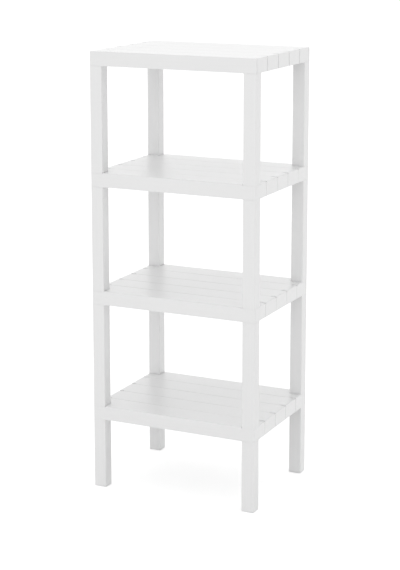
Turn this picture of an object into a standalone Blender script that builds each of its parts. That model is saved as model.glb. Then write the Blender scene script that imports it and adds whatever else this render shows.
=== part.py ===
"""Plastic shelving unit: four slatted shelves on hollow square legs, pushed together over plugs.

Metres, +Z up. The origin is on the floor under the middle of the unit, and the front faces -Y.
"""
from math import pi, sqrt

import bmesh
import bpy
from mathutils import Matrix, Vector

# The unit
SHELF_WIDTH = 0.370
SHELF_DEPTH = 0.280
SHELF_HEIGHT = 0.030
BAY_HEIGHT = 0.220
FOOT_HEIGHT = 0.150
TIERS = ("lower", "middle", "upper", "top")

# Shelf moulding
DECK_THICKNESS = 0.0035
SKIRT_WALL = 0.003
SHELF_EDGE_RADIUS = 0.001
SLAT_COUNT = 5
GROOVE_WIDTH = 0.0018
GROOVE_DEPTH = 0.001
GROOVE_END_LENGTH = 0.016
GROOVE_END_WIDTH = 0.003
GROOVE_END_DEPTH = 0.003
END_FACE_GROOVE_WIDTH = 0.0016
END_FACE_GROOVE_DEPTH = 0.0008

# Ribs under the deck
GROOVE_RIB_WALL = 0.0026
CROSS_RIB_WALL = 0.0018
CROSS_RIB_COUNT = 3
RIB_SETBACK = 0.003

# Legs, and the seats that they stand in
LEG_WIDTH = 0.027
LEG_DEPTH = 0.0255
LEG_WALL = 0.0025
LEG_EDGE_RADIUS = 0.001
SEAT_DEPTH = 0.002
SEAT_CLEARANCE = 0.002
SEAT_RIM = 0.0015

# Plugs that join the legs through the shelf corners
PLUG_REACH = 0.025
PLUG_WALL = 0.002
PLUG_LEAD_IN = 0.001
FLANGE_LIP = 0.0013
FLANGE_THICKNESS = 0.0015

# Foot caps
FOOT_CAP_HEIGHT = 0.016
FOOT_CAP_WALL = 0.002
FOOT_PLATE_THICKNESS = 0.0025
FOOT_EDGE_RADIUS = 0.0006

# Clearance between neighbours, and how far a cutter runs past the surface that it opens
FIT_GAP = 0.0003
CUTTER_OVERRUN = 0.005
ROUND_SEGMENTS = 3

# Places worked out from the sizes
SLAT_PITCH = SHELF_DEPTH / SLAT_COUNT
GROOVE_PLACES = [SLAT_PITCH * number - SHELF_DEPTH / 2 for number in range(1, SLAT_COUNT)]
DECK_UNDERSIDE = SHELF_HEIGHT - DECK_THICKNESS
HALF_WIDTH = SHELF_WIDTH / 2
HALF_DEPTH = SHELF_DEPTH / 2
LEG_X = HALF_WIDTH - LEG_WIDTH / 2
LEG_Y = HALF_DEPTH - LEG_DEPTH / 2
BORE_WIDTH = LEG_WIDTH - 2 * LEG_WALL
BORE_DEPTH = LEG_DEPTH - 2 * LEG_WALL
PLUG_WIDTH = BORE_WIDTH - 2 * FIT_GAP
PLUG_DEPTH = BORE_DEPTH - 2 * FIT_GAP
TOWER_X = HALF_WIDTH - LEG_WIDTH - SEAT_CLEARANCE - SEAT_RIM
TOWER_Y = HALF_DEPTH - LEG_DEPTH - SEAT_CLEARANCE - SEAT_RIM
CORNERS = {
    "front_left": (-1, -1),
    "front_right": (1, -1),
    "rear_left": (-1, 1),
    "rear_right": (1, 1),
}


def make_collection(name):
    """A new collection in the scene."""
    collection = bpy.data.collections.new(name)
    bpy.context.scene.collection.children.link(collection)
    return collection


def make_material(name, color, roughness):
    """Moulded plastic: a Principled BSDF with a colour and a roughness."""
    material = bpy.data.materials.new(name)
    material.use_nodes = True
    shader = material.node_tree.nodes["Principled BSDF"]
    shader.inputs["Base Color"].default_value = (*color, 1)
    shader.inputs["Roughness"].default_value = roughness
    shader.inputs["Metallic"].default_value = 0
    shader.inputs["IOR"].default_value = 1.49
    material.diffuse_color = (*color, 1)
    return material


def add_box(bm, low, high):
    """A cube stretched between two corners, returned as its vertices."""
    low = Vector(low)
    high = Vector(high)
    place = Matrix.Translation((low + high) / 2) @ Matrix.Diagonal((*(high - low), 1))
    return bmesh.ops.create_cube(bm, size=1, matrix=place)["verts"]


def box_mesh(name, boxes):
    """One mesh of separate boxes."""
    bm = bmesh.new()
    for low, high in boxes:
        add_box(bm, low, high)
    mesh = bpy.data.meshes.new(name)
    bm.to_mesh(mesh)
    bm.free()
    return mesh


def block_mesh(name, low, high, radius, is_rounded, segments=ROUND_SEGMENTS):
    """A box whose chosen edges are rounded. is_rounded takes an edge's direction and middle."""
    bm = bmesh.new()
    add_box(bm, low, high)
    chosen = []
    for edge in bm.edges:
        start, end = (vertex.co for vertex in edge.verts)
        if is_rounded((end - start).normalized(), (start + end) / 2):
            chosen.append(edge)
    bmesh.ops.bevel(bm, geom=chosen, offset=radius, segments=segments, profile=0.5, affect="EDGES")
    mesh = bpy.data.meshes.new(name)
    bm.to_mesh(mesh)
    bm.free()
    return mesh


def is_upright(direction, middle):
    """True for the vertical edges of a block."""
    return abs(direction.z) > 0.5


def make_guide(mesh, guides):
    """An object that only shapes others: a cutter, or a block before it is cut."""
    guide = bpy.data.objects.new(mesh.name, mesh)
    guide.hide_render = True
    guide.display_type = "WIRE"
    guides.objects.link(guide)
    return guide


def shape(block, cutter, operation="DIFFERENCE"):
    """Cuts the cutter from the block, or joins it on."""
    step = block.modifiers.new(cutter.name, "BOOLEAN")
    step.object = cutter
    step.operation = operation
    step.solver = "EXACT"


def finished_mesh(block, name):
    """The block's mesh with its modifiers applied, flat except round its rounded edges."""
    bpy.context.view_layer.update()
    evaluated = block.evaluated_get(bpy.context.evaluated_depsgraph_get())
    mesh = bpy.data.meshes.new_from_object(evaluated)
    mesh.name = name
    mesh.shade_smooth()
    mesh.set_sharp_from_angle(angle=pi / 5)
    return mesh


def groove_mesh(name, rows):
    """V-shaped rods. A row is a 4x4 matrix that takes a unit rod along X to its place and size."""
    bm = bmesh.new()
    on_edge = Matrix.Rotation(pi / 4, 4, "X")
    for place in rows:
        bmesh.ops.create_cube(bm, size=1, matrix=place @ on_edge)
    mesh = bpy.data.meshes.new(name)
    bm.to_mesh(mesh)
    bm.free()
    return mesh


def rod_scale(length, width, depth):
    """Takes a unit rod, set on edge, to a length, a mouth width and a depth below its axis."""
    return Matrix.Diagonal((length, width / sqrt(2), 2 * depth / sqrt(2), 1))


def deck_grooves():
    """The grooves between the slats, along the whole deck."""
    rows = []
    for place in GROOVE_PLACES:
        size = rod_scale(SHELF_WIDTH + 2 * CUTTER_OVERRUN, GROOVE_WIDTH, GROOVE_DEPTH)
        rows.append(Matrix.Translation((0, place, SHELF_HEIGHT)) @ size)
    return groove_mesh("deck_grooves", rows)


def end_face_grooves():
    """The same lines carried down the left and right faces."""
    rows = []
    upright = Matrix.Rotation(pi / 2, 4, "Y")
    length = SHELF_HEIGHT + 2 * CUTTER_OVERRUN
    for side in (-1, 1):
        for place in GROOVE_PLACES:
            size = rod_scale(length, END_FACE_GROOVE_WIDTH, END_FACE_GROOVE_DEPTH)
            spot = Matrix.Translation((side * HALF_WIDTH, place, SHELF_HEIGHT / 2))
            rows.append(spot @ upright @ size)
    return groove_mesh("end_face_grooves", rows)


def groove_ends():
    """Each groove opens wider and deeper over its last stretch, like a gap between slat ends."""
    bm = bmesh.new()
    slope = GROOVE_END_DEPTH / GROOVE_END_LENGTH
    length = GROOVE_END_LENGTH + CUTTER_OVERRUN
    widen = Matrix.Diagonal((1, GROOVE_END_WIDTH / (2 * GROOVE_END_DEPTH), 1, 1))
    for side in (-1, 1):
        lie_down = Matrix.Rotation(side * pi / 2, 4, "Y")
        middle = side * (HALF_WIDTH + CUTTER_OVERRUN - length / 2)
        for place in GROOVE_PLACES:
            spot = Matrix.Translation((middle, place, SHELF_HEIGHT))
            bmesh.ops.create_cone(
                bm,
                cap_ends=True,
                segments=4,
                radius1=0,
                radius2=GROOVE_END_DEPTH + slope * CUTTER_OVERRUN,
                depth=length,
                matrix=spot @ widen @ lie_down,
            )
    bmesh.ops.remove_doubles(bm, verts=bm.verts, dist=1e-6)
    mesh = bpy.data.meshes.new("groove_ends")
    bm.to_mesh(mesh)
    bm.free()
    return mesh


def clear_spans(low, high, walls, thickness):
    """The open stretches between low and high, where walls stand at the given places."""
    edges = [low]
    for place in walls:
        edges += [place - thickness / 2, place + thickness / 2]
    edges.append(high)
    return list(zip(edges[0::2], edges[1::2]))


def pockets():
    """The cells between the ribs, open below. The outer columns stop at the corner towers."""
    inner = TOWER_X - CROSS_RIB_WALL
    step = (2 * inner + CROSS_RIB_WALL) / (CROSS_RIB_COUNT + 1)
    ribs = [step * number - inner - CROSS_RIB_WALL / 2 for number in range(1, CROSS_RIB_COUNT + 1)]
    columns = clear_spans(-inner, inner, ribs, CROSS_RIB_WALL)
    outer = HALF_WIDTH - SKIRT_WALL
    floor = -CUTTER_OVERRUN
    skirt_y = HALF_DEPTH - SKIRT_WALL
    boxes = []
    for low_x, high_x in columns:
        for low_y, high_y in clear_spans(-skirt_y, skirt_y, GROOVE_PLACES, GROOVE_RIB_WALL):
            boxes.append(((low_x, low_y, floor), (high_x, high_y, DECK_UNDERSIDE)))
    for low_x, high_x in ((-outer, -TOWER_X), (TOWER_X, outer)):
        for low_y, high_y in clear_spans(-TOWER_Y, TOWER_Y, GROOVE_PLACES, GROOVE_RIB_WALL):
            boxes.append(((low_x, low_y, floor), (high_x, high_y, DECK_UNDERSIDE)))
    return box_mesh("pockets", boxes)


def rib_setback(name, half_x, half_y):
    """Clears the lower edge of the ribs, so that they end above the skirt's edge."""
    return box_mesh(name, [((-half_x, -half_y, -CUTTER_OVERRUN), (half_x, half_y, RIB_SETBACK))])


def corner_boxes(name, half_x, half_y, low_z, high_z):
    """A box round the axis of each leg."""
    boxes = []
    for side_x, side_y in CORNERS.values():
        x = side_x * LEG_X
        y = side_y * LEG_Y
        boxes.append(((x - half_x, y - half_y, low_z), (x + half_x, y + half_y, high_z)))
    return box_mesh(name, boxes)


def seats():
    """Shallow corner seats in the deck, open to the outer faces, wider than the leg inside."""
    boxes = []
    floor = SHELF_HEIGHT - SEAT_DEPTH
    above = SHELF_HEIGHT + CUTTER_OVERRUN
    for side_x, side_y in CORNERS.values():
        inner_x = side_x * (HALF_WIDTH - LEG_WIDTH - SEAT_CLEARANCE)
        inner_y = side_y * (HALF_DEPTH - LEG_DEPTH - SEAT_CLEARANCE)
        outer_x = side_x * (HALF_WIDTH + CUTTER_OVERRUN)
        outer_y = side_y * (HALF_DEPTH + CUTTER_OVERRUN)
        low = (min(inner_x, outer_x), min(inner_y, outer_y), floor)
        high = (max(inner_x, outer_x), max(inner_y, outer_y), above)
        boxes.append((low, high))
    return box_mesh("seats", boxes)


def shelf_mesh(name, is_top, guides):
    """A shelf moulding, standing on z = 0: deck, skirt, ribs and four corner towers."""

    def is_rounded(direction, middle):
        return is_upright(direction, middle) or middle.z > SHELF_HEIGHT / 2

    low = (-HALF_WIDTH, -HALF_DEPTH, 0)
    high = (HALF_WIDTH, HALF_DEPTH, SHELF_HEIGHT)
    block = make_guide(block_mesh(name + "_block", low, high, SHELF_EDGE_RADIUS, is_rounded), guides)
    socket_top = DECK_UNDERSIDE if is_top else SHELF_HEIGHT + CUTTER_OVERRUN
    flange_half_x = PLUG_WIDTH / 2 + FLANGE_LIP + FIT_GAP
    flange_half_y = PLUG_DEPTH / 2 + FLANGE_LIP + FIT_GAP
    flange_top = FLANGE_THICKNESS + FIT_GAP
    cutters = [
        pockets(),
        rib_setback("setback_across", TOWER_X, HALF_DEPTH - SKIRT_WALL),
        rib_setback("setback_along", HALF_WIDTH - SKIRT_WALL, TOWER_Y),
        corner_boxes("sockets", BORE_WIDTH / 2, BORE_DEPTH / 2, -CUTTER_OVERRUN, socket_top),
        corner_boxes("flange_seats", flange_half_x, flange_half_y, -CUTTER_OVERRUN, flange_top),
        deck_grooves(),
        end_face_grooves(),
        groove_ends(),
    ]
    if not is_top:
        cutters.append(seats())
    for cutter in cutters:
        shape(block, make_guide(cutter, guides))
    return finished_mesh(block, name)


def leg_mesh(name, length, guides):
    """A hollow square leg, standing on z = 0."""
    low = (-LEG_WIDTH / 2, -LEG_DEPTH / 2, 0)
    high = (LEG_WIDTH / 2, LEG_DEPTH / 2, length)
    block = make_guide(block_mesh(name + "_block", low, high, LEG_EDGE_RADIUS, is_upright), guides)
    bore_low = (-BORE_WIDTH / 2, -BORE_DEPTH / 2, -CUTTER_OVERRUN)
    bore_high = (BORE_WIDTH / 2, BORE_DEPTH / 2, length + CUTTER_OVERRUN)
    shape(block, make_guide(box_mesh(name + "_bore", [(bore_low, bore_high)]), guides))
    return finished_mesh(block, name)


def plug_mesh(name, top, guides):
    """A hollow plug with a flange that sits on the leg below. z = 0 is the shelf's lower face."""
    low = (-PLUG_WIDTH / 2, -PLUG_DEPTH / 2, -PLUG_REACH)
    high = (PLUG_WIDTH / 2, PLUG_DEPTH / 2, top)

    def is_any(direction, middle):
        return True

    block = block_mesh(name + "_block", low, high, PLUG_LEAD_IN, is_any, segments=1)
    plug = make_guide(block, guides)
    flange_x = PLUG_WIDTH / 2 + FLANGE_LIP
    flange_y = PLUG_DEPTH / 2 + FLANGE_LIP
    flange = [((-flange_x, -flange_y, 0), (flange_x, flange_y, FLANGE_THICKNESS))]
    shape(plug, make_guide(box_mesh(name + "_flange", flange), guides), "UNION")
    hollow_x = PLUG_WIDTH / 2 - PLUG_WALL
    hollow_y = PLUG_DEPTH / 2 - PLUG_WALL
    bore_low = (-hollow_x, -hollow_y, -PLUG_REACH - CUTTER_OVERRUN)
    bore_high = (hollow_x, hollow_y, top + CUTTER_OVERRUN)
    shape(plug, make_guide(box_mesh(name + "_bore", [(bore_low, bore_high)]), guides))
    return finished_mesh(plug, name)


def foot_cap_mesh(name, guides):
    """A cup inside the leg's lower end, on a plate as wide as the leg that stands on the floor."""
    low = (-LEG_WIDTH / 2, -LEG_DEPTH / 2, 0)
    high = (LEG_WIDTH / 2, LEG_DEPTH / 2, FOOT_PLATE_THICKNESS)

    def is_rounded(direction, middle):
        return is_upright(direction, middle) or middle.z < FOOT_PLATE_THICKNESS / 2

    plate = make_guide(block_mesh(name + "_plate", low, high, FOOT_EDGE_RADIUS, is_rounded), guides)
    inside = FOOT_PLATE_THICKNESS / 2
    cup = [((-PLUG_WIDTH / 2, -PLUG_DEPTH / 2, inside), (PLUG_WIDTH / 2, PLUG_DEPTH / 2, FOOT_CAP_HEIGHT))]
    shape(plate, make_guide(box_mesh(name + "_cup", cup), guides), "UNION")
    hollow_x = PLUG_WIDTH / 2 - FOOT_CAP_WALL
    hollow_y = PLUG_DEPTH / 2 - FOOT_CAP_WALL
    hollow_top = FOOT_CAP_HEIGHT + CUTTER_OVERRUN
    hollow = [((-hollow_x, -hollow_y, FOOT_PLATE_THICKNESS), (hollow_x, hollow_y, hollow_top))]
    shape(plate, make_guide(box_mesh(name + "_hollow", hollow), guides))
    return finished_mesh(plate, name)


def place_part(name, mesh, material, location, parent, unit):
    """One named piece of the unit, placed under its tier."""
    part = bpy.data.objects.new(name, mesh)
    part.location = location
    part.parent = parent
    if not mesh.materials:
        mesh.materials.append(material)
    unit.objects.link(part)
    return part


def main():
    """Builds the unit from the floor up."""
    for leftover in list(bpy.data.objects):
        bpy.data.objects.remove(leftover, do_unlink=True)
    unit = make_collection("plastic_shelving_unit")
    guides = make_collection("cutters")

    shelf_plastic = make_material("shelf_plastic", (0.82, 0.82, 0.82), 0.32)
    leg_plastic = make_material("leg_plastic", (0.81, 0.81, 0.81), 0.38)
    plug_plastic = make_material("plug_plastic", (0.72, 0.72, 0.71), 0.5)
    foot_plastic = make_material("foot_plastic", (0.79, 0.79, 0.79), 0.45)

    leg_length = BAY_HEIGHT + SEAT_DEPTH - 2 * FIT_GAP
    foot_leg_length = FOOT_HEIGHT - FOOT_PLATE_THICKNESS - 2 * FIT_GAP
    open_shelf = shelf_mesh("open_shelf", False, guides)
    top_shelf = shelf_mesh("closed_shelf", True, guides)
    leg = leg_mesh("leg", leg_length, guides)
    foot_leg = leg_mesh("foot_leg", foot_leg_length, guides)
    through_plug = plug_mesh("through_plug", SHELF_HEIGHT + PLUG_REACH, guides)
    top_plug = plug_mesh("top_plug", DECK_UNDERSIDE - FIT_GAP, guides)
    foot_cap = foot_cap_mesh("foot_cap", guides)

    for number, tier in enumerate(TIERS):
        is_top = number == len(TIERS) - 1
        base = bpy.data.objects.new(tier + "_tier", None)
        base.location = (0, 0, FOOT_HEIGHT + number * (SHELF_HEIGHT + BAY_HEIGHT))
        unit.objects.link(base)
        shelf = top_shelf if is_top else open_shelf
        place_part(tier + "_shelf", shelf, shelf_plastic, (0, 0, 0), base, unit)
        plug = top_plug if is_top else through_plug
        for corner, (side_x, side_y) in CORNERS.items():
            x = side_x * LEG_X
            y = side_y * LEG_Y
            place_part(f"{tier}_plug_{corner}", plug, plug_plastic, (x, y, 0), base, unit)
            if not is_top:
                seat = SHELF_HEIGHT - SEAT_DEPTH + FIT_GAP
                place_part(f"{tier}_leg_{corner}", leg, leg_plastic, (x, y, seat), base, unit)

    floor = bpy.data.objects.new("floor_level", None)
    unit.objects.link(floor)
    for corner, (side_x, side_y) in CORNERS.items():
        x = side_x * LEG_X
        y = side_y * LEG_Y
        foot_leg_base = FOOT_PLATE_THICKNESS + FIT_GAP
        place_part(f"foot_leg_{corner}", foot_leg, leg_plastic, (x, y, foot_leg_base), floor, unit)
        place_part(f"foot_cap_{corner}", foot_cap, foot_plastic, (x, y, 0), floor, unit)


main()
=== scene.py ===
"""White plastic shelving unit: its moulded shelves, legs and feet, and the studio round it.

Metres, +Z up. The origin is on the floor under the middle of the unit, and the front faces -Y.
"""
from math import cos, pi, radians, sin

import bmesh
import bpy
from bpy.props import (
    FloatProperty,
    FloatVectorProperty,
    IntProperty,
    PointerProperty,
)
from mathutils import Matrix, Vector


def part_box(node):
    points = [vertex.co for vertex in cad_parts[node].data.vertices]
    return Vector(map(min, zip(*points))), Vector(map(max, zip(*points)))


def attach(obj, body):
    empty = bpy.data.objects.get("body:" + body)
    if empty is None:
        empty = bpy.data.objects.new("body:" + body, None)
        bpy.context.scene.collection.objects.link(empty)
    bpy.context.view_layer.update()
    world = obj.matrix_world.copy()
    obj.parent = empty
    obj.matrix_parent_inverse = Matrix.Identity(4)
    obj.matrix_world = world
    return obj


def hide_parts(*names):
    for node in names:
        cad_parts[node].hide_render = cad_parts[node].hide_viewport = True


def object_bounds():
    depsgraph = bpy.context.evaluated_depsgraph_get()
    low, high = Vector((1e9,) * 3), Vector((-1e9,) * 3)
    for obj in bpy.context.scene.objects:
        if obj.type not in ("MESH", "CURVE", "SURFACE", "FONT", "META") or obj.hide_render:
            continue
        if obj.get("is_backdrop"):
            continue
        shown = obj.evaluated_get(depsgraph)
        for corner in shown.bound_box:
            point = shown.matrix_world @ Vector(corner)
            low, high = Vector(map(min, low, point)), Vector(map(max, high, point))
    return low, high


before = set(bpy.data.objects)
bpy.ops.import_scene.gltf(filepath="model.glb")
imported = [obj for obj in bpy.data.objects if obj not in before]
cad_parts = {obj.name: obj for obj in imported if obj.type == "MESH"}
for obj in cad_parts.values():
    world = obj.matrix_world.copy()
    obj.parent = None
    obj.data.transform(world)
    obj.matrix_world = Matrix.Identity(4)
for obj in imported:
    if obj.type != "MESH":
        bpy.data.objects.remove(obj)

bl_info = {
    "name": "Plastic Shelving Unit",
    "version": (1, 0, 0),
    "blender": (4, 5, 0),
    "location": "3D View > Sidebar > Shelving",
    "description": "White moulded shelves on square legs, with a pale studio round them",
    "category": "Add Mesh",
}

TIERS = ("lower", "middle", "upper", "top")
LEG_TIERS = ("foot", "lower", "middle", "upper")
CORNERS = ("front_left", "front_right", "rear_left", "rear_right")
BODY = "root"
MM = 0.001

# How far a cutter runs past the surface that it opens
OVERRUN = 5 * MM
# How far a groove's lips stand clear of the surface
LIP_CLEARANCE = 0.02 * MM
# Points round the section that is swept into a groove
GROOVE_POINTS = 32
# The valley of a deck groove: 4 is a soft valley, and under 1 the walls stand up
DECK_GROOVE_SOFTNESS = 4
# What a deck groove's valley becomes where it opens: 1 leaves it soft, and towards 0 its walls stand up
END_SQUARENESS = 0.12
# Faces across each rounding: of the deck's left and right edges, round the shelf's front and back, of its
# lower edges, and of the upright edges of legs and foot plates
END_SEGMENTS = 6
EDGE_SEGMENTS = 4
LOWER_SEGMENTS = 2
LEG_SEGMENTS = 4
# The profile of a rounding that is part of a circle
ROUND_PROFILE = 0.5
# Points within this distance of each other become one
WELD = 0.001 * MM
# Edges that turn more than this stay crisp
CRISP_ANGLE = radians(40)


def box_size(node):
    """Width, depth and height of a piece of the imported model."""
    low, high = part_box(node)
    return high - low


SHELF_SIZE = box_size("lower_shelf")
LEG_SIZE = box_size("lower_leg_front_left")


# Sizes and colours


class ShelfSizes(bpy.types.PropertyGroup):
    """A shelf moulding: slatted deck, skirt, ribs and corner towers."""

    width: FloatProperty(name="Width", description="Left to right", default=SHELF_SIZE.x, unit="LENGTH")
    depth: FloatProperty(name="Depth", description="Front to back", default=SHELF_SIZE.y, unit="LENGTH")
    height: FloatProperty(
        name="Height", description="Deck to lower edge", default=SHELF_SIZE.z, unit="LENGTH")
    edge_radius: FloatProperty(
        name="Edge Radius", description="Rounding of the outer edges", default=1.0 * MM, unit="LENGTH")
    end_radius: FloatProperty(
        name="End Radius", description="Rounding of the deck's left and right edges", default=2.2 * MM,
        unit="LENGTH")
    lower_edge_radius: FloatProperty(
        name="Lower Edge Radius", description="Rounding of the skirt's lower edge", default=0.5 * MM,
        unit="LENGTH")
    slats: IntProperty(name="Slats", description="Slats across the deck", default=5, min=2)
    groove_width: FloatProperty(
        name="Groove Width", description="Mouth of the line between two slats", default=2.0 * MM,
        unit="LENGTH")
    groove_depth: FloatProperty(
        name="Groove Depth", description="Depth of the line between two slats", default=0.8 * MM,
        unit="LENGTH")
    groove_end_length: FloatProperty(
        name="Groove End Length", description="Last stretch, where a groove opens", default=16 * MM,
        unit="LENGTH")
    groove_end_width: FloatProperty(
        name="Groove End Width", description="Mouth of a groove at the deck's edge", default=7 * MM,
        unit="LENGTH")
    groove_end_depth: FloatProperty(
        name="Groove End Depth", description="Depth of a groove at the deck's edge", default=3.0 * MM,
        unit="LENGTH")
    groove_ramp: FloatProperty(
        name="Groove Ramp", description="How far a groove takes to reach its end depth", default=6 * MM,
        unit="LENGTH")
    side_groove_width: FloatProperty(
        name="Side Groove Width", description="Mouth of the lines down the side faces", default=3.4 * MM,
        unit="LENGTH")
    side_groove_depth: FloatProperty(
        name="Side Groove Depth", description="Depth of the lines down the side faces", default=2.0 * MM,
        unit="LENGTH")
    side_groove_softness: FloatProperty(
        name="Side Groove Softness", description="4 is a soft valley, and under 1 the walls stand up",
        default=4, min=0.1)
    top_groove_width: FloatProperty(
        name="Top Groove Width", description="Mouth of the lines down the top shelf's side faces",
        default=4.6 * MM, unit="LENGTH")
    top_groove_depth: FloatProperty(
        name="Top Groove Depth", description="Depth of the lines down the top shelf's side faces",
        default=2.6 * MM, unit="LENGTH")
    top_groove_softness: FloatProperty(
        name="Top Groove Softness", description="As Side Groove Softness, for the top shelf",
        default=0.6, min=0.1)
    corner_line: FloatProperty(
        name="Corner Line",
        description="Size of the parting line beside each corner, as a share of a side groove",
        default=0.55, subtype="FACTOR", min=0, max=1)
    corner_line_inset: FloatProperty(
        name="Corner Line Inset", description="From the front or rear face to the parting line",
        default=4.5 * MM, unit="LENGTH")
    deck: FloatProperty(
        name="Deck", description="Thickness of the deck", default=3.5 * MM, unit="LENGTH")
    skirt: FloatProperty(
        name="Skirt", description="Thickness of the skirt", default=3 * MM, unit="LENGTH")
    slat_rib: FloatProperty(
        name="Slat Rib", description="Thickness of the rib under each groove", default=2.6 * MM,
        unit="LENGTH")
    cross_rib: FloatProperty(
        name="Cross Rib", description="Thickness of the ribs across the slats", default=1.8 * MM,
        unit="LENGTH")
    cross_ribs: IntProperty(
        name="Cross Ribs", description="Ribs across the slats, with one beside each row of towers",
        default=5, min=2)
    rib_setback: FloatProperty(
        name="Rib Setback", description="How far the ribs end above the skirt's edge", default=3 * MM,
        unit="LENGTH")
    tower_rim: FloatProperty(
        name="Tower Rim", description="Wall of a corner tower beyond its seat", default=1.5 * MM,
        unit="LENGTH")
    seat_sink: FloatProperty(
        name="Seat Sink", description="How deep a leg stands in the deck", default=2 * MM, unit="LENGTH")
    seat_margin: FloatProperty(
        name="Seat Margin", description="Free strip beside a leg in its seat", default=1 * MM,
        unit="LENGTH")
    flange_lip: FloatProperty(
        name="Flange Lip", description="How far a plug's flange stands out", default=1.3 * MM,
        unit="LENGTH")
    flange: FloatProperty(
        name="Flange", description="Thickness of a plug's flange", default=1.5 * MM, unit="LENGTH")


class LegSizes(bpy.types.PropertyGroup):
    """A leg section: a hollow square tube with rounded upright edges."""

    width: FloatProperty(name="Width", description="Left to right", default=LEG_SIZE.x, unit="LENGTH")
    depth: FloatProperty(name="Depth", description="Front to back", default=LEG_SIZE.y, unit="LENGTH")
    wall: FloatProperty(
        name="Wall", description="Thickness of the wall", default=2.5 * MM, unit="LENGTH")
    edge_radius: FloatProperty(
        name="Edge Radius", description="Rounding of the upright edges", default=1.0 * MM, unit="LENGTH")
    end_chamfer: FloatProperty(
        name="End Chamfer", description="Chamfer round each end", default=0.15 * MM, unit="LENGTH")
    fit_gap: FloatProperty(
        name="Fit Gap", description="Clearance between neighbours", default=0.3 * MM, unit="LENGTH")
    top_gap: FloatProperty(
        name="Top Gap", description="What is left of the gap at a leg's upper end", default=0.03 * MM,
        unit="LENGTH")
    foot_gap: FloatProperty(
        name="Foot Gap", description="What is left of the gap at a leg's lower end", default=0.1 * MM,
        unit="LENGTH")


class FootSizes(bpy.types.PropertyGroup):
    """A foot cap: a plate under the leg and a cup inside it."""

    edge_radius: FloatProperty(
        name="Edge Radius", description="Rounding round the plate", default=0.35 * MM, unit="LENGTH")
    cup_wall: FloatProperty(
        name="Cup Wall", description="Thickness of the cup's wall", default=2 * MM, unit="LENGTH")


class Finish(bpy.types.PropertyGroup):
    """Colours and sheen of the plastics."""

    shelf_color: FloatVectorProperty(
        name="Shelf", description="White of the shelves", default=(0.87, 0.87, 0.87), subtype="COLOR",
        min=0, max=1)
    leg_color: FloatVectorProperty(
        name="Leg", description="White of the legs", default=(0.87, 0.87, 0.87), subtype="COLOR", min=0,
        max=1)
    foot_color: FloatVectorProperty(
        name="Foot", description="White of the foot caps", default=(0.85, 0.85, 0.85), subtype="COLOR",
        min=0, max=1)
    plug_color: FloatVectorProperty(
        name="Plug", description="Natural white of the plugs", default=(0.70, 0.70, 0.685),
        subtype="COLOR", min=0, max=1)
    shelf_coat: FloatProperty(
        name="Shelf Gloss", description="Glossy skin of the shelves", default=1.0, subtype="FACTOR",
        min=0, max=1)
    leg_coat: FloatProperty(
        name="Leg Gloss", description="Glossy skin of the legs", default=0.8, subtype="FACTOR", min=0,
        max=1)
    shelf_roughness: FloatProperty(
        name="Shelf Roughness", description="Middle roughness of the shelves", default=0.32,
        subtype="FACTOR", min=0, max=1)
    leg_roughness: FloatProperty(
        name="Leg Roughness", description="Middle roughness of the legs", default=0.38, subtype="FACTOR",
        min=0, max=1)


class Studio(bpy.types.PropertyGroup):
    """Camera, floor and light."""

    lens: FloatProperty(
        name="Lens", description="Focal length in millimetres", default=100.5, unit="CAMERA")
    camera_place: FloatVectorProperty(
        name="Camera", description="Where the camera stands", default=(1.414, -2.962, 1.233),
        subtype="TRANSLATION", unit="LENGTH")
    camera_turn: FloatProperty(
        name="Turn", description="Camera's heading, from facing the back", default=radians(25.56),
        subtype="ANGLE", unit="ROTATION")
    camera_dip: FloatProperty(
        name="Dip", description="Camera's tilt below level", default=radians(10.48), subtype="ANGLE",
        unit="ROTATION")
    frame_drop: FloatProperty(
        name="Frame Drop",
        description="How far the picture lies below the camera's axis, as a share of its height",
        default=0.16)
    floor_size: FloatProperty(name="Floor", description="Side of the floor", default=60, unit="LENGTH")
    floor_color: FloatVectorProperty(
        name="Floor Colour", description="Pale grey that the floor casts on the unit",
        default=(0.95, 0.95, 0.95), subtype="COLOR", min=0, max=1)
    floor_glow: FloatProperty(
        name="Floor Glow", description="White added to the floor where the camera sees it", default=0.36,
        min=0)
    mirrored_glow: FloatProperty(
        name="Mirrored Glow", description="White added to the floor where gloss or clear things show it",
        default=0.18, min=0)
    room_light: FloatProperty(name="Room Light", description="Strength of the even light", default=0.842)
    lamp_distance: FloatProperty(
        name="Lamp Distance", description="From the middle of the unit to each lamp", default=4,
        unit="LENGTH")
    back_power: FloatProperty(
        name="Back Power", description="Lamp behind, in watts", default=5, unit="POWER")
    back_turn: FloatProperty(
        name="Back Turn", description="How far to the right the lamp behind stands",
        default=radians(-155), subtype="ANGLE", unit="ROTATION")
    back_rise: FloatProperty(
        name="Back Rise", description="How high the lamp behind stands", default=radians(35),
        subtype="ANGLE", unit="ROTATION")
    key_power: FloatProperty(
        name="Key Power", description="Lamp in front, in watts", default=10, unit="POWER")
    key_turn: FloatProperty(
        name="Key Turn", description="How far to the right the lamp in front stands", default=radians(9),
        subtype="ANGLE", unit="ROTATION")
    key_rise: FloatProperty(
        name="Key Rise", description="How high the lamp in front stands", default=radians(14),
        subtype="ANGLE", unit="ROTATION")
    lamp_size: FloatProperty(
        name="Lamp Size", description="Side of each square lamp", default=2.6, unit="LENGTH")


class ShelvingUnit(bpy.types.PropertyGroup):
    """Everything that a user would change."""

    shelf: PointerProperty(type=ShelfSizes, name="Shelf", description="Shelf moulding")
    leg: PointerProperty(type=LegSizes, name="Leg", description="Leg section")
    foot: PointerProperty(type=FootSizes, name="Foot", description="Foot cap")
    finish: PointerProperty(type=Finish, name="Finish", description="Plastics")
    studio: PointerProperty(type=Studio, name="Studio", description="Camera, floor and light")


# Node trees


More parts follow.
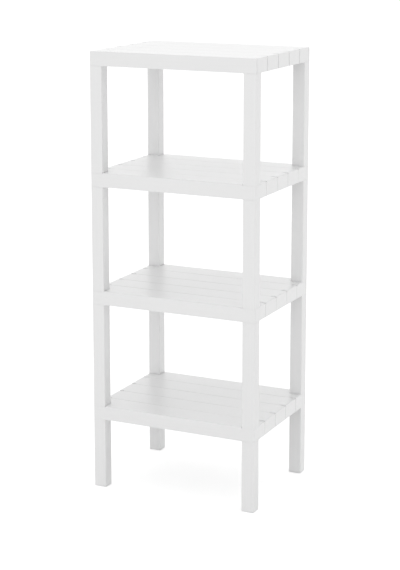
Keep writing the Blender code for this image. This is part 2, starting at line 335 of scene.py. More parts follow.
class Number:
    """A number socket. Python's signs add the maths nodes that work it out."""

    def __init__(self, tree, socket):
        self.tree = tree
        self.socket = socket

    def maths(self, operation, *others):
        """A maths node on this number and others."""
        node = add_node(self.tree, "ShaderNodeMath", dict(enumerate((self, *others))), operation=operation)
        return Number(self.tree, node.outputs[0])

    def __add__(self, other):
        return self.maths("ADD", other)

    def __sub__(self, other):
        return self.maths("SUBTRACT", other)

    def __mul__(self, other):
        return self.maths("MULTIPLY", other)

    def __truediv__(self, other):
        return self.maths("DIVIDE", other)

    def __neg__(self):
        return self.maths("MULTIPLY", -1)

    def larger(self, other):
        """The larger of two numbers."""
        return self.maths("MAXIMUM", other)

    def smaller(self, other):
        """The smaller of two numbers."""
        return self.maths("MINIMUM", other)


def put(tree, socket, value):
    """Links a node, a socket or a number to a socket, or sets the socket's value. A list links them all."""
    if isinstance(value, list):
        for each in value:
            put(tree, socket, each)
        return
    if isinstance(value, Number):
        value = value.socket
    if isinstance(value, bpy.types.Node):
        value = value.outputs[0]
    if isinstance(value, bpy.types.NodeSocket):
        tree.links.new(value, socket)
    else:
        socket.default_value = value


def add_node(tree, kind, inputs=None, **settings):
    """A node with its settings made and its inputs filled, by name or number."""
    node = tree.nodes.new(kind)
    for name, value in settings.items():
        setattr(node, name, value)
    for key, value in (inputs or {}).items():
        put(tree, node.inputs[key], value)
    return node


def vector(tree, x, y, z):
    """A vector of three numbers."""
    return add_node(tree, "ShaderNodeCombineXYZ", {0: x, 1: y, 2: z})


def position(tree):
    """Where a point lies: its X, Y and Z, as numbers."""
    axes = add_node(tree, "ShaderNodeSeparateXYZ", {0: add_node(tree, "GeometryNodeInputPosition")})
    return [Number(tree, output) for output in axes.outputs]


def new_tree(name, sizes):
    """A geometry tree with a named input for each size, and those inputs as numbers."""
    tree = bpy.data.node_groups.new(name, "GeometryNodeTree")
    tree.interface.new_socket("Geometry", in_out="OUTPUT", socket_type="NodeSocketGeometry")
    tree.interface.new_socket("Geometry", in_out="INPUT", socket_type="NodeSocketGeometry")
    for label, value in sizes.items():
        kind = "NodeSocketFloat"
        if isinstance(value, bool):
            kind = "NodeSocketBool"
        elif isinstance(value, int):
            kind = "NodeSocketInt"
        tree.interface.new_socket(label, in_out="INPUT", socket_type=kind).default_value = value
    tree.interface.new_socket("Material", in_out="INPUT", socket_type="NodeSocketMaterial")
    entry = tree.nodes.new("NodeGroupInput")
    numbers = {label: Number(tree, entry.outputs[label]) for label in sizes}
    return tree, entry, numbers


def end_tree(tree, entry, geometry):
    """Crisp and smooth edges, then the plastic, then the way out."""
    welded = add_node(tree, "GeometryNodeMergeByDistance", {"Geometry": geometry, "Distance": WELD})
    smooth = add_node(tree, "GeometryNodeSetShadeSmooth", {"Geometry": welded, "Shade Smooth": True})
    turn = add_node(tree, "GeometryNodeInputMeshEdgeAngle")
    is_crisp = add_node(tree, "ShaderNodeMath", {0: turn, 1: CRISP_ANGLE}, operation="GREATER_THAN")
    crisp = add_node(
        tree, "GeometryNodeSetShadeSmooth",
        {"Geometry": smooth, "Selection": is_crisp, "Shade Smooth": False}, domain="EDGE")
    real = add_node(tree, "GeometryNodeRealizeInstances", {"Geometry": crisp})
    painted = add_node(
        tree, "GeometryNodeSetMaterial", {"Geometry": real, "Material": entry.outputs["Material"]})
    add_node(tree, "NodeGroupOutput", {"Geometry": painted})


def cut(tree, block, cutters):
    """The block without its cutters."""
    return add_node(
        tree, "GeometryNodeMeshBoolean", {0: block, 1: cutters}, operation="DIFFERENCE", solver="EXACT")


def join(tree, meshes):
    """Closed meshes that overlap, as one closed mesh."""
    return add_node(tree, "GeometryNodeMeshBoolean", {1: meshes}, operation="UNION", solver="EXACT")


def moved(tree, geometry, place=(0, 0, 0), turn=(0, 0, 0)):
    """The geometry at another place, turned."""
    return add_node(
        tree, "GeometryNodeTransform", {"Geometry": geometry, "Translation": place, "Rotation": turn})


def cuboid(tree, width, depth, low, high):
    """A box round the Z axis, from one height to another."""
    cube = add_node(tree, "GeometryNodeMeshCube", {"Size": vector(tree, width, depth, high - low)})
    return moved(tree, cube, vector(tree, 0, 0, (high + low) / 2))


def at_points(tree, points, shape):
    """A copy of the shape at each point, as real geometry."""
    copies = add_node(tree, "GeometryNodeInstanceOnPoints", {"Points": points, "Instance": shape})
    return add_node(tree, "GeometryNodeRealizeInstances", {"Geometry": copies})


def corner_points(tree, x, y):
    """Four points, at plus and minus x and y."""
    return add_node(
        tree, "GeometryNodeMeshGrid", {"Size X": x * 2, "Size Y": y * 2, "Vertices X": 2, "Vertices Y": 2})


def on_axis(axis, value):
    """Three numbers, 0 but for the value on its axis."""
    return tuple(value if number == axis else 0 for number in range(3))


def row_points(tree, count, pitch, axis):
    """Points a pitch apart in a row centred on the origin."""
    first = vector(tree, *on_axis(axis, pitch * (count - 1) / -2))
    step = vector(tree, *on_axis(axis, pitch))
    return add_node(tree, "GeometryNodeMeshLine", {"Count": count, "Start Location": first, "Offset": step})


# Shelf


def valley_sweep(tree, stations, width, depth, softness):
    """Sweeps a valley along stations on the X axis. Its lips run out level, just above the surface."""
    circle = add_node(
        tree, "GeometryNodeCurvePrimitiveCircle", {"Resolution": GROOVE_POINTS, "Radius": 1.0})
    across, down = position(tree)[:2]
    valley = down.larger(0).maths("POWER", softness) * depth
    crown = down.smaller(0) * OVERRUN
    outline = vector(tree, across * width / 2, valley + crown - LIP_CLEARANCE, 0)
    section = add_node(tree, "GeometryNodeSetPosition", {"Geometry": circle, "Position": outline})
    return add_node(
        tree, "GeometryNodeCurveToMesh", {"Curve": stations, "Profile Curve": section, "Fill Caps": True})


def straight_curve(tree, start, end):
    """A straight curve from one place to another."""
    return add_node(tree, "GeometryNodeCurvePrimitiveLine", {"Start": start, "End": end})


def paired_stations(tree, distances, axis):
    """A line along an axis, with points at plus and minus each distance, nearest first."""
    # The points start out at 1, 3, 5 and so on to each side, and are then spread to their own distances
    count = len(distances)
    reach = 2 * count - 1
    line = straight_curve(tree, on_axis(axis, -reach), on_axis(axis, reach))
    even = add_node(tree, "GeometryNodeResampleCurve", {"Curve": line, "Count": 2 * count})
    mark = position(tree)[axis]
    spread = distances[0]
    for number, (near, far) in enumerate(zip(distances, distances[1:])):
        passed = ((mark.maths("ABSOLUTE") - (2 * number + 1)) / 2).larger(0).smaller(1)
        spread = spread + passed * (far - near)
    place = vector(tree, *on_axis(axis, mark.maths("SIGN") * spread))
    return add_node(tree, "GeometryNodeSetPosition", {"Geometry": even, "Position": place})


def deck_groove(tree, size):
    """The cutter for the line between two slats: it opens wider and deeper near its ends."""
    half = size["Width"] / 2
    inner = half - size["Groove End Length"]
    stations = paired_stations(tree, (inner, inner + size["Groove Ramp"], half + OVERRUN), 0)
    rod = valley_sweep(tree, stations, size["Groove Width"], size["Groove Depth"], DECK_GROOVE_SOFTNESS)
    along, across, up = position(tree)
    opening = ((along.maths("ABSOLUTE") - inner) / size["Groove Ramp"]).larger(0).smaller(1)
    wider = opening * (size["Groove End Width"] / size["Groove Width"] - 1) + 1
    depth = size["Groove Depth"]
    depth_here = opening * (size["Groove End Depth"] - depth) + depth
    sunk = (up / depth * -1).larger(0).maths("POWER", opening * (END_SQUARENESS - 1) + 1)
    place = vector(tree, along, across * wider, up.larger(0) - sunk * depth_here)
    return add_node(tree, "GeometryNodeSetPosition", {"Geometry": rod, "Position": place})


def side_groove(tree, size, share=1):
    """The cutter for a line down a side face, at a share of its size. It lies along X and opens upwards."""
    reach = size["Height"] / 2 + OVERRUN
    line = straight_curve(tree, vector(tree, -reach, 0, 0), vector(tree, reach, 0, 0))
    return valley_sweep(
        tree, line, size["Side Groove Width"] * share, size["Side Groove Depth"] * share,
        size["Side Groove Softness"])


def shelf_grooves(tree, size):
    """The lines between the slats, along the deck and down both side faces, and those beside the corners."""
    places = row_points(tree, size["Slats"] - 1, size["Depth"] / size["Slats"], 1)
    deck_rods = at_points(tree, places, deck_groove(tree, size))
    grooves = [moved(tree, deck_rods, vector(tree, 0, 0, size["Height"]))]
    corner_places = row_points(tree, 2, size["Depth"] - size["Corner Line Inset"] * 2, 1)
    lines = (
        (places, side_groove(tree, size)),
        (corner_places, side_groove(tree, size, size["Corner Line"])),
    )
    for side in (-1, 1):
        face = vector(tree, size["Width"] * side / 2, 0, size["Height"] / 2)
        for spots, rod in lines:
            upright = moved(tree, rod, turn=(0, side * pi / 2, 0))
            grooves.append(moved(tree, at_points(tree, spots, upright), face))
    return grooves


def shelf_cavity(tree, size, tower_x, tower_y):
    """What is hollow under the deck: all but the ribs and the corner towers."""
    skirt = size["Skirt"] * 2
    deck_underside = size["Height"] - size["Deck"]
    hollow = cuboid(tree, size["Width"] - skirt, size["Depth"] - skirt, -OVERRUN, deck_underside)
    slat_rib = cuboid(tree, size["Width"], size["Slat Rib"], size["Rib Setback"], size["Height"])
    slat_places = row_points(tree, size["Slats"] - 1, size["Depth"] / size["Slats"], 1)
    cross_rib = cuboid(tree, size["Cross Rib"], size["Depth"], size["Rib Setback"], size["Height"])
    cross_pitch = (tower_x * 2 - size["Cross Rib"]) / (size["Cross Ribs"] - 1)
    cross_places = row_points(tree, size["Cross Ribs"], cross_pitch, 0)
    tower_width = size["Width"] / 2 + OVERRUN - tower_x
    tower_depth = size["Depth"] / 2 + OVERRUN - tower_y
    tower = cuboid(tree, tower_width, tower_depth, -OVERRUN * 2, size["Height"])
    tower_places = corner_points(tree, tower_x + tower_width / 2, tower_y + tower_depth / 2)
    return cut(tree, hollow, [
        at_points(tree, slat_places, slat_rib),
        at_points(tree, cross_places, cross_rib),
        at_points(tree, tower_places, tower),
    ])


def shelf_tree(size_values):
    """Turns a rounded block into a shelf moulding."""
    tree, entry, size = new_tree("shelf_moulding", size_values)
    bore_width = size["Leg Width"] - size["Leg Wall"] * 2
    bore_depth = size["Leg Depth"] - size["Leg Wall"] * 2
    leg_x = (size["Width"] - size["Leg Width"]) / 2
    leg_y = (size["Depth"] - size["Leg Depth"]) / 2
    seat_x = size["Width"] / 2 - size["Leg Width"] - size["Seat Margin"]
    seat_y = size["Depth"] / 2 - size["Leg Depth"] - size["Seat Margin"]
    corners = corner_points(tree, leg_x, leg_y)
    bore = cuboid(tree, bore_width, bore_depth, -OVERRUN, size["Bore Top"])
    lip = size["Flange Lip"] * 2
    flange_seat = cuboid(
        tree, bore_width + lip, bore_depth + lip, -OVERRUN, size["Flange"] + size["Fit Gap"])
    seat_width = size["Width"] / 2 + OVERRUN - seat_x
    seat_depth = size["Depth"] / 2 + OVERRUN - seat_y
    seat = cuboid(tree, seat_width, seat_depth, size["Height"] - size["Seat Sink"], size["Height"] + OVERRUN)
    seat_places = corner_points(tree, seat_x + seat_width / 2, seat_y + seat_depth / 2)
    seats = add_node(
        tree, "GeometryNodeSwitch",
        {"Switch": size["Has Seats"], "True": at_points(tree, seat_places, seat)}, input_type="GEOMETRY")
    cutters = [
        shelf_cavity(tree, size, seat_x - size["Tower Rim"], seat_y - size["Tower Rim"]),
        at_points(tree, corners, bore),
        at_points(tree, corners, flange_seat),
        *shelf_grooves(tree, size),
        seats,
    ]
    end_tree(tree, entry, cut(tree, entry.outputs["Geometry"], cutters))
    return tree


def round_edges(block, edges, radius, segments):
    """Rounds edges of a block to a radius."""
    bmesh.ops.bevel(
        block, geom=edges, offset=radius, segments=segments, profile=ROUND_PROFILE, affect="EDGES")


def rounded_block(name, shelf):
    """A block standing on z = 0: round at its left and right upper edges, then round its front and back."""
    middle = shelf.height / 2
    block = bmesh.new()
    size = Matrix.Diagonal((shelf.width, shelf.depth, shelf.height, 1))
    bmesh.ops.create_cube(block, size=1, matrix=Matrix.Translation((0, 0, middle)) @ size)
    ends = [
        edge for edge in block.edges
        if min(vertex.co.z for vertex in edge.verts) > middle
        and edge.verts[0].co.x * edge.verts[1].co.x > 0]
    round_edges(block, ends, shelf.end_radius, END_SEGMENTS)
    faces = [
        edge for edge in block.edges
        if edge.verts[0].co.y * edge.verts[1].co.y > 0
        and max(vertex.co.z for vertex in edge.verts) > middle]
    round_edges(block, faces, shelf.edge_radius, EDGE_SEGMENTS)
    lower = [edge for edge in block.edges if max(vertex.co.z for vertex in edge.verts) < middle]
    round_edges(block, lower, shelf.lower_edge_radius, LOWER_SEGMENTS)
    mesh = bpy.data.meshes.new(name)
    block.to_mesh(mesh)
    block.free()
    return mesh


# Legs and feet


def rounded_bar(tree, width, depth, low, high, radius, chamfer):
    """An upright bar round the Z axis, with rounded upright edges and chamfered ends."""
    outline = add_node(tree, "GeometryNodeCurvePrimitiveQuadrilateral", {"Width": width, "Height": depth})
    rounded = add_node(
        tree, "GeometryNodeFilletCurve",
        {"Curve": outline, "Radius": radius, "Count": LEG_SEGMENTS}, mode="POLY")
    half = (high - low) / 2
    stations = paired_stations(tree, (half - chamfer, half), 2)
    is_end = position(tree)[2].maths("ABSOLUTE").maths("GREATER_THAN", half - chamfer / 2)
    scale = is_end * (chamfer * -2 / width) + 1
    bar = add_node(
        tree, "GeometryNodeCurveToMesh",
        {"Curve": stations, "Profile Curve": rounded, "Scale": scale, "Fill Caps": True})
    return moved(tree, bar, vector(tree, 0, 0, (low + high) / 2))


def leg_tree(size_values):
    """A hollow leg between two heights, at its place."""
    tree, entry, size = new_tree("leg_section", size_values)
    bar = rounded_bar(
        tree, size["Width"], size["Depth"], size["Low"], size["High"], size["Edge Radius"],
        size["End Chamfer"])
    wall = size["Wall"] * 2
    bore = cuboid(
        tree, size["Width"] - wall, size["Depth"] - wall, size["Low"] - OVERRUN, size["High"] + OVERRUN)
    tube = cut(tree, bar, [bore])
    end_tree(tree, entry, moved(tree, tube, vector(tree, size["Place X"], size["Place Y"], 0)))
    return tree


def foot_tree(size_values):
    """A plate that stands on the floor and a cup that sits inside the leg."""
    tree, entry, size = new_tree("foot_cap", size_values)
    plate = rounded_bar(
        tree, size["Width"], size["Depth"], size["Low"], size["Plate Top"], size["Edge Radius"],
        size["Edge Chamfer"])
    cup = cuboid(
        tree, size["Cup Width"], size["Cup Depth"], (size["Low"] + size["Plate Top"]) / 2, size["High"])
    wall = size["Cup Wall"] * 2
    hollow = cuboid(
        tree, size["Cup Width"] - wall, size["Cup Depth"] - wall, size["Plate Top"], size["High"] + OVERRUN)
    cap = cut(tree, join(tree, [plate, cup]), [hollow])
    end_tree(tree, entry, moved(tree, cap, vector(tree, size["Place X"], size["Place Y"], 0)))
    return tree


# Making pieces


def grown_mesh(name, tree, values, material, block=None):
    """The mesh that a tree makes with these values, as plain faces with weighted normals."""
    source = bpy.data.objects.new(name, block or bpy.data.meshes.new(name))
    bpy.context.scene.collection.objects.link(source)
    growth = source.modifiers.new("growth", "NODES")
    growth.node_group = tree
    for item in tree.interface.items_tree:
        if item.in_out == "INPUT" and item.name in values:
            growth[item.identifier] = values[item.name]
        elif item.in_out == "INPUT" and item.name == "Material":
            growth[item.identifier] = material
    normals = source.modifiers.new("normals", "WEIGHTED_NORMAL")
    normals.keep_sharp = True
    bpy.context.view_layer.update()
    evaluated = source.evaluated_get(bpy.context.evaluated_depsgraph_get())
    mesh = bpy.data.meshes.new_from_object(evaluated)
    bpy.data.objects.remove(source)
    if not mesh.polygons:
        raise RuntimeError(f"{name} came out empty")
    mesh.name = name
    return mesh


def place_piece(name, mesh, slot, *nodes):
    """A finished piece: it rides on the unit and stands for its nodes."""
    piece = bpy.data.objects.new(name, mesh)
    bpy.context.scene.collection.objects.link(piece)
    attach(piece, BODY)
    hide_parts(*nodes)


def bore_size(unit):
    """Width and depth of the hole down a leg."""
    return unit.leg.width - 2 * unit.leg.wall, unit.leg.depth - 2 * unit.leg.wall


# Plastics


# Patterns in the plastics: ripples a metre, and how finely they are broken up
DRIFT = {"scale": 7.0, "detail": 2.0}
PEEL = {"scale": 620.0, "detail": 2.0}
SPECK = {"scale": 240.0, "detail": 3.0}
SCUFFS = {"scale": 180.0, "detail": 4.0}
# Patterns that run one way, and their ripples a metre along X, Y and Z: along the slats, up the legs and up
# the plugs
STREAKS = {"scale": 1.0, "detail": 4.0}
DRAG = {"scale": 1.0, "detail": 3.0}
SLAT_GRAIN = (9, 260, 260)
LEG_GRAIN = (260, 260, 9)
DRAG_GRAIN = (900, 900, 12)
# The middle of a pattern, which runs from 0 to 1
PATTERN_MIDDLE = 0.5

# How far the patterns of moulded plastic change its tone, its roughness and its height
STREAK_TONE = 0.035
DRIFT_TONE = 0.03
STREAK_ROUGHNESS = 0.06
SPECK_ROUGHNESS = 0.06
STREAK_HEIGHT = 0.35
PEEL_HEIGHT = 0.12
SINK_HEIGHT = 0.3
# How far to each side of a rib its sink line shows on the deck
SINK_REACH = 5 * MM
# Refraction of moulded plastic and of its glossy skin, and how rough the skin is
PLASTIC_IOR = 1.5
SKIN_ROUGHNESS = 0.36

# Foot caps: their roughness, how high dust lies on them, and how it changes their tone and roughness
FOOT_ROUGHNESS = 0.45
DUST_REACH = 2 * MM
DUST_TONE = -0.06
DUST_ROUGHNESS = 0.25

# Plugs: their roughness, and how the drag lines change their tone and roughness
PLUG_ROUGHNESS = 0.52
DRAG_TONE = 0.08
DRAG_ROUGHNESS = 0.2

# Each plastic's bump: its strength, and how high a full ripple stands
MOULDED_BUMP = (0.2, 0.05 * MM)
FOOT_BUMP = (0.4, 0.1 * MM)
PLUG_BUMP = (0.5, 0.05 * MM)


def start_material(name):
    """A new material, its tree, and the socket that says where a point of the piece lies."""
    material = bpy.data.materials.new(name)
    material.use_nodes = True
    tree = material.node_tree
    return material, tree, add_node(tree, "ShaderNodeTexCoord").outputs["Object"]


def fill_shader(tree, color, tone, roughness, bump, height):
    """Gives the shader a colour times a tone, a roughness, and a bump that follows a height."""
    shader = tree.nodes["Principled BSDF"]
    tinted = add_node(tree, "ShaderNodeVectorMath", {0: tuple(color), "Scale": tone}, operation="SCALE")
    put(tree, shader.inputs["Base Color"], tinted)
    put(tree, shader.inputs["Roughness"], roughness)
    strength, distance = bump
    relief = add_node(
        tree, "ShaderNodeBump", {"Strength": strength, "Distance": distance, "Height": height})
    put(tree, shader.inputs["Normal"], relief)
    return shader


def noise(tree, place, scale, detail, stretch=(1, 1, 1)):
    """Noise on object coordinates, 0 to 1, drawn out along an axis by a small stretch there."""
    mapping = add_node(tree, "ShaderNodeMapping", {"Vector": place, "Scale": stretch})
    texture = add_node(tree, "ShaderNodeTexNoise", {"Vector": mapping, "Scale": scale, "Detail": detail})
    return Number(tree, texture.outputs[0])


def fading(tree, away, reach, **settings):
    """1 where a distance is 0, falling to 0 at reach."""
    fade = add_node(
        tree, "ShaderNodeMapRange",
        {"Value": away, "From Min": 0.0, "From Max": reach, "To Min": 1.0, "To Max": 0.0}, **settings)
    return Number(tree, fade.outputs[0])


def sink_lines(tree, place, pitch):
    """1 on lines a pitch apart across the slats, where ribs meet the deck, falling to 0 beside them."""
    axes = add_node(tree, "ShaderNodeSeparateXYZ", {0: place})
    away = Number(tree, axes.outputs[0]).maths("PINGPONG", pitch / 2)
    return fading(tree, away, SINK_REACH, interpolation_type="SMOOTHSTEP")


def moulded_plastic(name, color, roughness, coat, grain, rib_pitch=None):
    """White moulded plastic: flow streaks along the grain, slow drift of tone, fine orange peel."""
    material, tree, place = start_material(name)
    streaks = noise(tree, place, **STREAKS, stretch=grain)
    streak = streaks - PATTERN_MIDDLE
    drift = noise(tree, place, **DRIFT) - PATTERN_MIDDLE
    speck = noise(tree, place, **SPECK) - PATTERN_MIDDLE
    height = streaks * STREAK_HEIGHT + noise(tree, place, **PEEL) * PEEL_HEIGHT
    if rib_pitch:
        height = height - sink_lines(tree, place, rib_pitch) * SINK_HEIGHT
    tone = streak * STREAK_TONE + drift * DRIFT_TONE + 1
    rough = speck * SPECK_ROUGHNESS + streak * STREAK_ROUGHNESS + roughness
    shader = fill_shader(tree, color, tone, rough, MOULDED_BUMP, height)
    shader.inputs["IOR"].default_value = PLASTIC_IOR
    shader.inputs["Coat Weight"].default_value = coat
    shader.inputs["Coat Roughness"].default_value = SKIN_ROUGHNESS
    shader.inputs["Coat IOR"].default_value = PLASTIC_IOR
    material.diffuse_color = (*color, 1)
    return material


def foot_plastic(color):
    """Matte white of the foot caps, a little scuffed and dusty towards the floor."""
    material, tree, place = start_material("white_foot_plastic")
    axes = add_node(tree, "ShaderNodeSeparateXYZ", {0: place})
    scuffs = noise(tree, place, **SCUFFS)
    dust = fading(tree, axes.outputs[2], DUST_REACH) * scuffs
    rough = dust * DUST_ROUGHNESS + FOOT_ROUGHNESS
    fill_shader(tree, color, dust * DUST_TONE + 1, rough, FOOT_BUMP, scuffs)
    return material


def plug_plastic(color):
    """Natural white of the hidden plugs, with fine upright drag lines from pushing them home."""
    material, tree, place = start_material("natural_plug_plastic")
    drag = noise(tree, place, **DRAG, stretch=DRAG_GRAIN)
    line = drag - PATTERN_MIDDLE
    rough = line * DRAG_ROUGHNESS + PLUG_ROUGHNESS
    fill_shader(tree, color, line * DRAG_TONE + 1, rough, PLUG_BUMP, drag)
    return material


# Operators


class MakeShelves(bpy.types.Operator):
    """Make the four shelf mouldings"""

    bl_idname = "shelving.make_shelves"
    bl_label = "Shelves"

    def execute(self, context):
        unit = context.scene.shelving_unit
        shelf = unit.shelf
        values = {
            "Width": shelf.width,
            "Depth": shelf.depth,
            "Height": shelf.height,
            "Slats": shelf.slats,
            "Groove Width": shelf.groove_width,
            "Groove Depth": shelf.groove_depth,
            "Groove End Length": shelf.groove_end_length,
            "Groove End Width": shelf.groove_end_width,
            "Groove End Depth": shelf.groove_end_depth,
            "Groove Ramp": shelf.groove_ramp,
            "Side Groove Width": shelf.side_groove_width,
            "Side Groove Depth": shelf.side_groove_depth,
            "Side Groove Softness": shelf.side_groove_softness,
            "Corner Line": shelf.corner_line,
            "Corner Line Inset": shelf.corner_line_inset,
            "Deck": shelf.deck,
            "Skirt": shelf.skirt,
            "Slat Rib": shelf.slat_rib,
            "Cross Rib": shelf.cross_rib,
            "Cross Ribs": shelf.cross_ribs,
            "Rib Setback": shelf.rib_setback,
            "Tower Rim": shelf.tower_rim,
            "Leg Width": unit.leg.width,
            "Leg Depth": unit.leg.depth,
            "Leg Wall": unit.leg.wall,
            "Seat Sink": shelf.seat_sink,
            "Seat Margin": shelf.seat_margin,
            "Flange Lip": shelf.flange_lip,
            "Flange": shelf.flange,
            "Fit Gap": unit.leg.fit_gap,
            "Bore Top": shelf.height + OVERRUN,
            "Has Seats": True,
        }
        tree = shelf_tree(values)
        tower = shelf.width / 2 - unit.leg.width - shelf.seat_margin - shelf.tower_rim
        rib_pitch = (2 * tower - shelf.cross_rib) / (shelf.cross_ribs - 1)
        finish = unit.finish
        plastic = moulded_plastic(
            "white_shelf_plastic", finish.shelf_color, finish.shelf_roughness, finish.shelf_coat, SLAT_GRAIN,
            rib_pitch)
        top_values = {
            **values,
            "Side Groove Width": shelf.top_groove_width,
            "Side Groove Depth": shelf.top_groove_depth,
            "Side Groove Softness": shelf.top_groove_softness,
            "Bore Top": shelf.height - shelf.deck,
            "Has Seats": False,
        }
        for tier in TIERS:
            name = f"{tier}_shelf_moulding"
            block = rounded_block(f"{tier}_block", shelf)
            mesh = grown_mesh(name, tree, top_values if tier == "top" else values, plastic, block)
            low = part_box(f"{tier}_shelf")[0]
            mesh.transform(Matrix.Translation((0, 0, low.z)))
            place_piece(name, mesh, "shelf_plastic", f"{tier}_shelf")
        return {"FINISHED"}


class MakeLegs(bpy.types.Operator):
    """Make the sixteen leg sections"""

    bl_idname = "shelving.make_legs"
    bl_label = "Legs"

    def execute(self, context):
        unit = context.scene.shelving_unit
        leg = unit.leg
        values = {
            "Width": leg.width,
            "Depth": leg.depth,
            "Low": 0.0,
            "High": LEG_SIZE.z,
            "Wall": leg.wall,
            "Edge Radius": leg.edge_radius,
            "End Chamfer": leg.end_chamfer,
            "Place X": 0.0,
            "Place Y": 0.0,
        }
        tree = leg_tree(values)
        finish = unit.finish
        plastic = moulded_plastic(
            "white_leg_plastic", finish.leg_color, finish.leg_roughness, finish.leg_coat, LEG_GRAIN)
        for tier in LEG_TIERS:
            for corner in CORNERS:
                node = f"{tier}_leg_{corner}"
                low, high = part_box(node)
                middle = (low + high) / 2
                values["Low"] = low.z - leg.fit_gap + leg.foot_gap
                values["High"] = high.z + leg.fit_gap - leg.top_gap
                values["Place X"] = middle.x
                values["Place Y"] = middle.y
                name = f"{tier}_{corner}_leg"
                place_piece(name, grown_mesh(name, tree, values, plastic), "leg_plastic", node)
        return {"FINISHED"}


class MakeFeet(bpy.types.Operator):
    """Make the four foot caps"""

    bl_idname = "shelving.make_feet"
    bl_label = "Feet"

    def execute(self, context):
        unit = context.scene.shelving_unit
        bore_width, bore_depth = bore_size(unit)
        values = {
            "Width": unit.leg.width,
            "Depth": unit.leg.depth,
            "Low": 0.0,
            "Plate Top": 0.0,
            "High": 0.0,
            "Edge Radius": unit.leg.edge_radius,
            "Edge Chamfer": unit.foot.edge_radius,
            "Cup Width": bore_width - 2 * unit.leg.fit_gap,
            "Cup Depth": bore_depth - 2 * unit.leg.fit_gap,
            "Cup Wall": unit.foot.cup_wall,
            "Place X": 0.0,
            "Place Y": 0.0,
        }
        tree = foot_tree(values)
        plastic = foot_plastic(unit.finish.foot_color)
        for corner in CORNERS:
            node = f"foot_cap_{corner}"
            low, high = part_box(node)
            middle = (low + high) / 2
            leg_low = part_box(f"foot_leg_{corner}")[0]
            values["Low"] = low.z
            values["Plate Top"] = leg_low.z - unit.leg.fit_gap
            values["High"] = high.z
            values["Place X"] = middle.x
            values["Place Y"] = middle.y
            name = f"{corner}_foot"
            place_piece(name, grown_mesh(name, tree, values, plastic), "foot_plastic", node)
        return {"FINISHED"}


class FinishPlugs(bpy.types.Operator):
    """Give the sixteen plugs inside the joints their plastic"""

    bl_idname = "shelving.finish_plugs"
    bl_label = "Plugs"

    def execute(self, context):
        unit = context.scene.shelving_unit
        plastic = plug_plastic(unit.finish.plug_color)
        for tier in TIERS:
            for corner in CORNERS:
                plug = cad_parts[f"{tier}_plug_{corner}"]
                for material_slot in plug.material_slots:
                    material_slot.material = plastic
        return {"FINISHED"}


class BuildStudio(bpy.types.Operator):
    """Set up the floor, the light and the camera"""

    bl_idname = "shelving.build_studio"
    bl_label = "Studio"

    def execute(self, context):
        studio = context.scene.shelving_unit.studio
        lay_floor(studio)
        light_room(context.scene, studio)
        hang_lamp("key_lamp", studio, studio.key_power, studio.key_turn, studio.key_rise)
        hang_lamp("back_lamp", studio, studio.back_power, studio.back_turn, studio.back_rise)
        stand_camera(context.scene, studio)
        context.scene.view_settings.view_transform = "Standard"
        return {"FINISHED"}


# Studio


WHITE = (1, 1, 1, 1)
# The colour sockets of a Mix node, by number because its other kinds share their names
FIRST_COLOR = 6
SECOND_COLOR = 7
MIXED_COLOR = 2
# How near and how far the camera sees
NEAR_CLIP = 0.1
FAR_CLIP = 100


def seen_shares(tree):
    """Two shares: 1 for rays from the camera, and 1 for those, rays off gloss and through clear things."""
    path = add_node(tree, "ShaderNodeLightPath")
    camera = Number(tree, path.outputs["Is Camera Ray"])
    glossy = path.outputs["Is Glossy Ray"]
    clear = path.outputs["Is Transmission Ray"]
    return camera, camera.larger(glossy).larger(clear)


def lay_floor(studio):
    """A plain floor: white where it is seen, and pale grey where it lights the unit."""
    half = studio.floor_size / 2
    corners = [(-half, -half, 0), (half, -half, 0), (half, half, 0), (-half, half, 0)]
    mesh = bpy.data.meshes.new("studio_floor")
    mesh.from_pydata(corners, [], [(0, 1, 2, 3)])
    floor = bpy.data.objects.new("studio_floor", mesh)
    bpy.context.scene.collection.objects.link(floor)
    material = bpy.data.materials.new("pale_floor")
    material.use_nodes = True
    tree = material.node_tree
    tree.nodes.clear()
    camera, seen = seen_shares(tree)
    color = add_node(
        tree, "ShaderNodeMix",
        {"Factor": seen, FIRST_COLOR: (*studio.floor_color, 1), SECOND_COLOR: WHITE}, data_type="RGBA")
    paint = add_node(tree, "ShaderNodeBsdfDiffuse", {"Color": color.outputs[MIXED_COLOR]})
    strength = camera * (studio.floor_glow - studio.mirrored_glow) + seen * studio.mirrored_glow
    glow = add_node(tree, "ShaderNodeEmission", {"Strength": strength})
    both = add_node(tree, "ShaderNodeAddShader", {0: paint, 1: glow})
    add_node(tree, "ShaderNodeOutputMaterial", {"Surface": both})
    mesh.materials.append(material)
    floor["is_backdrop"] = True


def light_room(scene, studio):
    """Even light all round, and white behind the unit."""
    world = bpy.data.worlds.new("studio")
    world.use_nodes = True
    tree = world.node_tree
    shade = tree.nodes["Background"]
    shade.inputs["Color"].default_value = WHITE
    seen = seen_shares(tree)[1]
    put(tree, shade.inputs["Strength"], seen * (1 - studio.room_light) + studio.room_light)
    scene.world = world


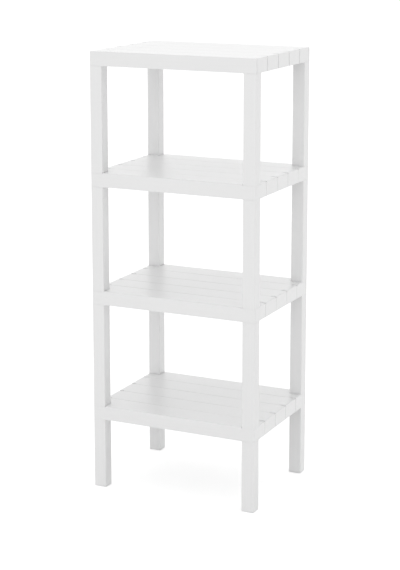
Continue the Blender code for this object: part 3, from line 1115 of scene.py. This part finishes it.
def hang_lamp(name, studio, power, turn, rise):
    """A wide soft lamp that faces the unit, from a turn to the right of its front and a rise above level."""
    light = bpy.data.lights.new(name, "AREA")
    light.shape = "SQUARE"
    light.size = studio.lamp_size
    light.energy = power
    low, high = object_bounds()
    outward = Vector((sin(turn) * cos(rise), -cos(turn) * cos(rise), sin(rise)))
    lamp = bpy.data.objects.new(name, light)
    lamp.location = (low + high) / 2 + outward * studio.lamp_distance
    lamp.rotation_euler = outward.to_track_quat("Z", "Y").to_euler()
    bpy.context.scene.collection.objects.link(lamp)


def stand_camera(scene, studio):
    """The camera, level side to side and dipped a little."""
    camera = bpy.data.cameras.new("camera")
    camera.lens = studio.lens
    camera.shift_y = -studio.frame_drop
    camera.clip_start = NEAR_CLIP
    camera.clip_end = FAR_CLIP
    stand = bpy.data.objects.new("camera", camera)
    stand.location = studio.camera_place
    stand.rotation_euler = (pi / 2 - studio.camera_dip, 0, studio.camera_turn)
    scene.collection.objects.link(stand)
    scene.camera = stand


# Panel


class ShelvingPanel(bpy.types.Panel):
    """Sizes and colours of the unit, and a button for each group of pieces."""

    bl_idname = "VIEW3D_PT_shelving"
    bl_label = "Shelving Unit"
    bl_space_type = "VIEW_3D"
    bl_region_type = "UI"
    bl_category = "Shelving"

    def draw(self, context):
        unit = context.scene.shelving_unit
        for group in (unit.shelf, unit.leg, unit.foot, unit.finish, unit.studio):
            box = self.layout.box()
            box.label(text=group.bl_rna.name)
            for name in group.__annotations__:
                box.prop(group, name)
        for operator in OPERATORS:
            self.layout.operator(operator.bl_idname)


GROUPS = (ShelfSizes, LegSizes, FootSizes, Finish, Studio, ShelvingUnit)
OPERATORS = (MakeShelves, MakeLegs, MakeFeet, FinishPlugs, BuildStudio)


def register():
    """Makes the sizes, the operators and the panel known."""
    for each in (*GROUPS, *OPERATORS, ShelvingPanel):
        bpy.utils.register_class(each)
    bpy.types.Scene.shelving_unit = PointerProperty(type=ShelvingUnit)


def unregister():
    """Takes them away again."""
    del bpy.types.Scene.shelving_unit
    for each in reversed((*GROUPS, *OPERATORS, ShelvingPanel)):
        bpy.utils.unregister_class(each)


def main():
    """Builds the unit and its studio."""
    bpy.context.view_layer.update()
    register()
    bpy.ops.shelving.make_shelves()
    bpy.ops.shelving.make_legs()
    bpy.ops.shelving.make_feet()
    bpy.ops.shelving.finish_plugs()
    bpy.ops.shelving.build_studio()


if __name__ == "__main__":
    main()
